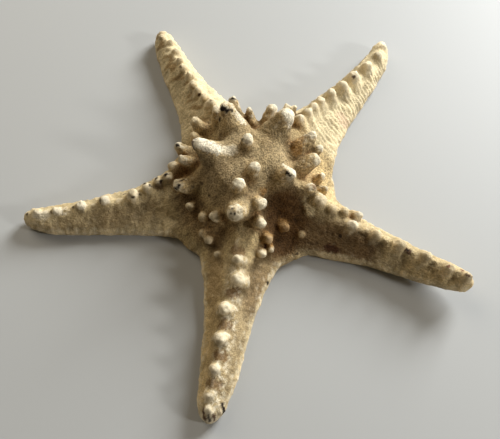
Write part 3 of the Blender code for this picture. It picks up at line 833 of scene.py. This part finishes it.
def top_relief(places, normals, on, proud):
    """The fine relief of the upper skin in millimetres: ribs and net, lumps, and folds."""
    lumps = sum(bumps(places, size, seed) * height for size, seed, height in LUMPS)
    size, seed, height = KNOB_LUMPS
    lumps = lumps + bumps(places, size, seed) * height * ease(0.5, 1.6, proud)
    depths = np.where(on.along < 28.0, CROWN_FOLDS, by_arm(ARM_FOLDS, on))
    folds = wrinkles(places, on) * depths * (1.0 - 0.7 * ease(0.5, 1.2, proud))
    return ribs_and_net(places, normals, on) + (lumps + folds * ease(0.0, 0.3, normals[:, 2]))


def under_height(places, on):
    """How far the grooves, the mouth and the rows of plates rise into the underside."""
    ends = np.array([arm.length * GROOVE_END_SHARE for arm in ARMS])[on.arm]
    share = 1.0 - GROOVE_TAPER * np.clip(on.along / ends, 0.0, 1.0)
    aside = np.abs(on.across) / (GROOVE_HALF * share)
    groove = GROOVE_DEPTH * share * (1.0 - ease(0.4, 1.0, aside)) * (1.0 - ease(-5.0, 0.0, on.along - ends))
    mouth = MOUTH_DEPTH * (1.0 - ease(0.35, 1.0, np.hypot(places[:, 0], places[:, 1]) / MOUTH_RADIUS))
    rows = 0.5 + 0.5 * np.sin(2 * math.pi * (on.along - 0.7 * np.abs(on.across)) / PLATE_SPACING)
    return np.maximum(groove, mouth) + PLATE_HEIGHT * rows * ease(1.0, 1.3, aside)


def shape_skin(skin):
    """Shape the skin, and return where each vertex lies, stands proud, its relief and shelter."""
    normals = skin.normals()
    places = skin.places
    eased = np.stack([skin.blurred(places[:, k], 60) for k in range(3)], axis=1)
    proud = ((places - eased) * normals).sum(axis=1)
    on = arm_places(places)
    under = ease(0.3, 0.7, -normals[:, 2])
    relief = top_relief(places, normals, on, proud)
    places = places + normals * (relief * (1.0 - under))[:, None]
    places[:, 2] = np.maximum(places[:, 2], 0.0) + under_height(places, on) * under
    low, high = (np.array(corner) / MM - (*DISC_CENTRE, 0.0) for corner in CAD_BOX)
    skin.places = np.clip(places, low, high)
    return on, proud, relief, sheltered(skin, normals)


def mixed(colours, other, share):
    return colours + (other - colours) * share[:, None]


def stain_share(places, stain):
    """How strongly a stain colours each vertex, with a ragged edge."""
    start = np.array(stain.start)
    run = np.array(stain.end) - start
    share = np.clip((places - start) @ run / max(run @ run, 1e-9), 0.0, 1.0)
    distance = np.linalg.norm(places - start - share[:, None] * run, axis=1)
    near = distance < stain.radius * 2.0
    distance[near] += bumps(places[near], 0.9, 9.0) * min(stain.radius * RAGGED_SHARE, RAGGED_LIMIT)
    edge = CRISP_EDGE if stain.radius < SOFT_RADIUS else SOFT_EDGE
    inner = stain.radius * (1.0 - edge)
    return stain.strength * (1.0 - ease(inner, stain.radius * (1.0 + edge), distance))


def stained(colours, places, under):
    """The marks laid on: those that lie under the pale knobs, or all the others."""
    for stain in STAINS:
        if (stain.tint in UNDER_TINTS) == under:
            colours = mixed(colours, TINTS[stain.tint], stain_share(places, stain))
    return colours


def rims(places, on):
    """The pale edges of the arms, from 0 to 1, broken in places."""
    lengths = by_arm([arm.length for arm in ARMS], on)
    breadths = by_arm([arm.breadth for arm in ARMS], on)
    profile = np.array(ARM_PROFILE)
    half = np.interp(on.along * NOMINAL_ARM / lengths, profile[:, 0], profile[:, 1]) * breadths
    near = ease(-0.8, 0.1, np.abs(on.across) - half + 0.4 * bumps(places, 2.2, 41.0))
    return near * ease(30.0, 42.0, on.along)


def ground_colours(places, on, outer):
    """The skin's own colours: warm and grey patches, paler arms and a dull crown."""
    colours = np.tile(BODY, (len(places), 1))
    patches = bumps(places, 15.0, 2.0) + 0.5 * bumps(places, 5.0, 4.0)
    colours = mixed(colours, WARM, 0.35 * ease(0.0, 0.9, patches))
    colours = mixed(colours, GREY, 0.35 * ease(0.0, 0.9, -patches))
    colours = mixed(colours, PALE, by_arm(ARM_PALENESS, on) * outer)
    return mixed(colours, CROWN, 0.6 * (1.0 - outer) * ease(14.0, 22.0, places[:, 2]))


def rims_chalk_and_fold_shade(colours, places, on, outer):
    """Pale rims, brown painted as shade between the folds beside the upper left ridge, and chalk on the
    front arm's crest.
    """
    colours = mixed(colours, PALE, 0.5 * rims(places, on))
    # Painted shade: brown between the folds on the flank of the upper left arm that faces away from the
    # light.
    between = ease(-0.1, 0.5, bumps(slanted(places, on.along, on.flank, SHADE_CELL), 1.0, 53.0))
    between = between * ease(0.6, 2.0, on.flank) * (1.0 - ease(5.0, 9.0, on.flank))
    colours = mixed(colours, WARM, 0.75 * between * outer * (on.arm == UPPER_LEFT))
    crest = (1.0 - ease(1.5, 4.5, np.abs(on.flank - 1.2))) * (on.arm == FRONT)
    chalk = ease(-0.25, 0.55, bumps(places, 1.7, 43.0) + 0.6 * bumps(places, 0.8, 47.0))
    return mixed(colours, TIP, 0.8 * chalk * crest * ease(36.0, 50.0, on.along))


def tip_share(places, proud, shelter, outer):
    """How far each vertex is the tip of a horn or knob: proud and in the open; less in shelter, as painted
    shade.
    """
    tips = ease(0.5 - 0.4 * outer, 1.4 - 0.4 * outer, proud + 0.4 * bumps(places, 1.5, 17.0))
    # Painted shade: tips in sheltered places are kept from turning white.
    return tips * (1.0 - ease(0.3, 0.75, shelter))


def tip_whiteness(places, on, outer):
    """How white a tip is: by arm, and on the disc less so low on its shaded side, as painted shade."""
    # Painted shade: tips low on the disc stay tan, except on its lit right side.
    high = ease(14.0, 22.0, places[:, 2])
    lit = ease(20.0, 27.0, places[:, 0]) * ease(-22.0, -17.0, places[:, 1])
    crown_tips = SHADED_SIDE_TIPS + (CROWN_TIPS - SHADED_SIDE_TIPS) * np.maximum(high, lit)
    return crown_tips + (by_arm(ARM_TIPS, on) - crown_tips) * outer


def colour_skin(skin, on, proud, relief, shelter):
    """A colour for each vertex, brown painted shade in sheltered hollows and pale on tips, and its strength
    of grain.
    """
    places = skin.places
    outer = ease(*COLOUR_ROOT, on.along)
    colours = ground_colours(places, on, outer)
    # Painted shade: brown where nearby forms hide the sky, in hollows, creases and round the feet of horns
    # and knobs.
    painted_shade_share = np.clip(shelter + 0.10 * bumps(places, 4.0, 13.0) - 0.08 * proud, 0.0, 1.0)
    colours = mixed(colours, HOLLOW_SHADE, 0.9 * ease(0.15, 0.7, painted_shade_share))
    colours = stained(colours, places, under=True)
    colours = rims_chalk_and_fold_shade(colours, places, on, outer)
    sides = ease(0.2, 0.7, proud) * (1.0 - ease(0.9, 1.6, proud))
    colours = mixed(colours, FLANK, 0.5 * sides)
    tips = tip_share(places, proud, shelter, outer)
    colours = mixed(colours, TIP, tip_whiteness(places, on, outer) * tips)
    fine = 0.07 * bumps(places, 0.9, 5.0) + np.clip(relief, -0.25, 0.25) * 0.8
    colours = stained(colours * (1.0 + fine)[:, None], places, under=False)
    grain = CROWN_GRAIN + (by_arm(ARM_GRAIN, on) - CROWN_GRAIN) * outer
    return np.clip(colours, 0.0, 1.0), grain * (1.0 - 0.6 * tips)


def store_colours(mesh, colours, grain):
    """Keep the colours on the mesh, with the strength of the grain as their fourth value."""
    layer = mesh.color_attributes.new("skin_colour", "FLOAT_COLOR", "POINT")
    rgba = np.column_stack([colours, grain]).astype(np.float32)
    layer.data.foreach_set("color", rgba.ravel())
    mesh.color_attributes.active_color = layer


def store_arm_places(mesh, places, on):
    """Keep each vertex's place in the net of its arm, and how clear that net is there."""
    layer = mesh.attributes.new("net_place", "FLOAT_VECTOR", "POINT")
    layer.data.foreach_set("vector", net_places(places, on).astype(np.float32).ravel())
    clear = ease(0.6, 2.6, np.abs(on.flank)) * ease(22.0, 34.0, on.along)
    clear = clear * (1.0 - ease(90.0, 98.0, on.along)) * by_arm(ARM_NET, on)
    layer = mesh.attributes.new("net_share", "FLOAT", "POINT")
    layer.data.foreach_set("value", clear.astype(np.float32))


def node(tree, kind, **values):
    """A shader node with its sockets and settings filled in by name."""
    made = tree.nodes.new(kind)
    for name, value in values.items():
        if name in made.inputs:
            made.inputs[name].default_value = value
        else:
            setattr(made, name, value)
    return made


def ramp(tree, source, low, high, at_low, at_high):
    """A value mapped from one range to another, held at its ends."""
    made = node(tree, "ShaderNodeMapRange", interpolation_type="SMOOTHSTEP")
    made.inputs["From Min"].default_value = low
    made.inputs["From Max"].default_value = high
    made.inputs["To Min"].default_value = at_low
    made.inputs["To Max"].default_value = at_high
    tree.links.new(source, made.inputs["Value"])
    return made.outputs["Result"]


def maths(tree, operation, first, second):
    made = node(tree, "ShaderNodeMath", operation=operation)
    for socket, value in zip(made.inputs, (first, second)):
        if isinstance(value, (int, float)):
            socket.default_value = value
        else:
            tree.links.new(value, socket)
    return made.outputs["Value"]


def summed(tree, total, *others):
    for other in others:
        total = maths(tree, "ADD", total, other)
    return total


def texture(tree, kind, place, output, **values):
    """One output of a texture, such as Noise, that is laid at the given place."""
    made = node(tree, "ShaderNodeTex" + kind, **values)
    tree.links.new(place, made.inputs["Vector"])
    return made.outputs[output]


class Textures:
    """Grains, granules and creases over the whole skin, and a net and fibres on the arms."""

    def __init__(self, tree, grain):
        place = node(tree, "ShaderNodeTexCoord").outputs["Object"]
        net_place = node(tree, "ShaderNodeAttribute", attribute_name="net_place").outputs["Vector"]
        net_share = node(tree, "ShaderNodeAttribute", attribute_name="net_share").outputs["Fac"]
        self.grain = grain
        self.speckle = texture(tree, "Noise", place, "Fac", Scale=1450.0, Detail=3.0, Roughness=0.7)
        self.blotch = texture(tree, "Noise", place, "Fac", Scale=420.0, Detail=3.0, Roughness=0.65)
        self.granules = texture(tree, "Voronoi", place, "Distance", Scale=1500.0)
        self.creases = texture(tree, "Noise", place, "Fac", noise_type="RIDGED_MULTIFRACTAL",
                               Scale=330.0, Detail=1.5, Roughness=0.6)
        edges = texture(tree, "Voronoi", net_place, "Distance", feature="DISTANCE_TO_EDGE", Scale=1.0)
        self.net = maths(tree, "MULTIPLY", ramp(tree, edges, 0.02, 0.28, 1.0, 0.0), net_share)
        self.net_share = net_share
        drawn_out = node(tree, "ShaderNodeVectorMath", operation="MULTIPLY")
        drawn_out.inputs[1].default_value = (0.45, 2.2, 0.3)
        tree.links.new(net_place, drawn_out.inputs[0])
        self.fibres = texture(tree, "Noise", drawn_out.outputs["Vector"], "Fac",
                              Scale=1.0, Detail=2.0, Roughness=0.6)


def salted_colour(tree, colour, parts):
    """The stored colours, made lighter and darker by the textures."""
    salt = ramp(tree, parts.speckle, 0.38, 0.62, -0.30, 0.30)
    patch = ramp(tree, parts.blotch, 0.36, 0.66, -0.05, 0.06)
    crumb = ramp(tree, parts.granules, 0.15, 0.75, 0.06, -0.08)
    netted = maths(tree, "MULTIPLY", maths(tree, "SUBTRACT", parts.net, 0.5),
                   maths(tree, "MULTIPLY", parts.net_share, 0.20))
    streak = maths(tree, "MULTIPLY", ramp(tree, parts.fibres, 0.35, 0.65, -0.22, 0.18), parts.net_share)
    shade = summed(tree, salt, patch, crumb, netted, streak)
    salted = node(tree, "ShaderNodeVectorMath", operation="SCALE")
    tree.links.new(colour, salted.inputs[0])
    tree.links.new(summed(tree, maths(tree, "MULTIPLY", shade, parts.grain), 1.0), salted.inputs["Scale"])
    return salted.outputs["Vector"]


def fine_relief(tree, parts):
    """The normal over the textures' relief, which is lower where the grain is weak."""
    height = summed(tree, maths(tree, "MULTIPLY", parts.speckle, 0.5),
                    maths(tree, "MULTIPLY", parts.granules, -0.35),
                    maths(tree, "MULTIPLY", parts.net, 0.4),
                    maths(tree, "MULTIPLY", parts.creases, 0.35),
                    maths(tree, "MULTIPLY", parts.fibres, parts.net_share))
    strength = summed(tree, maths(tree, "MULTIPLY", parts.grain, 0.7), 0.3)
    relief = node(tree, "ShaderNodeBump", Strength=0.9, Distance=0.0006)
    tree.links.new(maths(tree, "MULTIPLY", height, strength), relief.inputs["Height"])
    return relief.outputs["Normal"]


def dried_skin():
    """Chalky skin: the stored colours, salted with grains, over granules and a net of ridges."""
    material = bpy.data.materials.new("dried_skin")
    material.use_nodes = True
    tree = material.node_tree
    shader = tree.nodes["Principled BSDF"]
    shader.inputs["Roughness"].default_value = 0.82
    shader.inputs["Specular IOR Level"].default_value = 0.16
    stored = node(tree, "ShaderNodeVertexColor", layer_name="skin_colour")
    parts = Textures(tree, stored.outputs["Alpha"])
    tree.links.new(salted_colour(tree, stored.outputs["Color"], parts), shader.inputs["Base Color"])
    tree.links.new(fine_relief(tree, parts), shader.inputs["Normal"])
    return material


def make_skin():
    mesh = fine_form()
    skin = Skin(mesh)
    shape = shape_skin(skin)
    skin.write()
    store_colours(mesh, *colour_skin(skin, *shape))
    store_arm_places(mesh, skin.places, shape[0])
    mesh.name = "starfish_skin"
    mesh.materials.clear()
    mesh.materials.append(dried_skin())
    mesh.shade_smooth()
    obj = new_object("starfish_skin", mesh)
    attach(obj, "root")
    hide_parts("starfish")


def peg(mesh, base, tip, base_radius, tip_radius):
    """One small blunt spine of the underside."""
    direction = tip - base
    turn = direction.to_track_quat("Z", "Y").to_matrix().to_4x4()
    middle = Matrix.Translation((base + tip) / 2 * MM) @ turn
    bmesh.ops.create_cone(mesh, cap_ends=True, segments=PEG_SIDES, radius1=base_radius * MM,
                          radius2=tip_radius * MM, depth=direction.length * MM, matrix=middle)
    bmesh.ops.create_icosphere(mesh, subdivisions=1, radius=tip_radius * MM,
                               matrix=Matrix.Translation(tip * MM))


def add_pegs(mesh, arm, rng):
    """Two rows of blunt spines along an arm's groove, leaning over it from its two walls."""
    end = arm.length * (GROOVE_END_SHARE - 0.04)
    along = MOUTH_RADIUS + 1.0
    while along < end:
        share = 1.0 - GROOVE_TAPER * along / (arm.length * GROOVE_END_SHARE)
        across, lift = spline(arm.route, along)
        sole = max(lift - UNDERCUT, 0.0)
        thinning = 0.55 + 0.45 * share
        for side in (-1.0, 1.0):
            s = along + rng.uniform(-0.3, 0.3)
            wall = side * GROOVE_HALF * share * 0.86
            base = arm_point(arm, s, across + wall, sole + GROOVE_DEPTH * share * 0.55)
            lean = rng.uniform(0.30, 0.5)
            tip = arm_point(arm, s + rng.uniform(-0.4, 0.4), across + wall * lean,
                            sole + 0.42 + rng.uniform(0.0, 0.25))
            peg(mesh, base, tip, PEG_ROOT_RADIUS * thinning, PEG_TIP_RADIUS * thinning)
        along += PEG_SPACING * (0.6 + 0.4 * share)


def make_pegs():
    """The rows of small spines in the five grooves of the underside, as one piece."""
    rng = np.random.default_rng(5)
    work = bmesh.new()
    for arm in ARMS:
        add_pegs(work, arm, rng)
    mesh = bpy.data.meshes.new("groove_spines")
    bmesh.ops.translate(work, verts=work.verts, vec=Vector((*DISC_CENTRE, 0.0)) * MM)
    work.to_mesh(mesh)
    work.free()
    colours = np.tile(mixed(BODY[None, :], PALE, np.array([0.5])), (len(mesh.vertices), 1))
    store_colours(mesh, colours, np.full(len(mesh.vertices), 0.6))
    mesh.materials.append(bpy.data.materials["dried_skin"])
    mesh.shade_smooth()
    obj = new_object("groove_spines", mesh)
    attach(obj, "root")


def pointed(obj, place, target):
    obj.location = place
    obj.rotation_euler = (target - place).to_track_quat("-Z", "Y").to_euler()
    bpy.context.scene.collection.objects.link(obj)


def aim_point():
    return Vector((DISC_CENTRE[0], DISC_CENTRE[1] - AIM_BEFORE_DISC, 0.0)) * MM


def make_camera():
    tilt = math.radians(CAMERA_TILT)
    data = bpy.data.cameras.new("camera")
    data.sensor_width = 36.0
    data.lens = CAMERA_LENS
    data.clip_start = 0.01
    camera = bpy.data.objects.new("camera", data)
    back = Vector((0.0, -math.sin(tilt), math.cos(tilt)))
    pointed(camera, aim_point() + back * CAMERA_DISTANCE * MM, aim_point())
    bpy.context.scene.camera = camera


def area_light(name, towards, distance, size, power, colour):
    """A square soft light in the given direction from the starfish."""
    data = bpy.data.lights.new(name, "AREA")
    data.size = size
    data.energy = power
    data.color = colour
    light = bpy.data.objects.new(name, data)
    pointed(light, aim_point() + Vector(towards).normalized() * distance, aim_point())


def make_studio():
    area_light("window", (0.60, 0.65, 0.469), 1.0, 0.45, 17.8, (0.96, 0.985, 1.0))
    area_light("side", (0.84, -0.31, 0.45), 1.0, 0.12, 3.4, (1.0, 0.99, 0.97))
    area_light("room", (-0.52, 0.56, 0.643), 1.3, 0.9, 5.6, (1.0, 0.90, 0.74))
    world = bpy.data.worlds.new("studio")
    bpy.context.scene.world = world
    world.use_nodes = True
    background = world.node_tree.nodes["Background"]
    background.inputs["Color"].default_value = (1.0, 0.82, 0.58, 1.0)
    background.inputs["Strength"].default_value = 0.10
    bpy.context.scene.view_settings.view_transform = "Standard"


def make_floor():
    mesh = bpy.data.meshes.new("floor")
    work = bmesh.new()
    bmesh.ops.create_grid(work, x_segments=1, y_segments=1, size=2.0)
    work.to_mesh(mesh)
    work.free()
    floor = new_object("floor", mesh)
    material = bpy.data.materials.new("pale_desk")
    material.use_nodes = True
    shader = material.node_tree.nodes["Principled BSDF"]
    shader.inputs["Base Color"].default_value = (0.42, 0.425, 0.415, 1.0)
    shader.inputs["Roughness"].default_value = 0.6
    mesh.materials.append(material)


make_camera()
make_studio()
make_floor()
make_skin()
make_pegs()
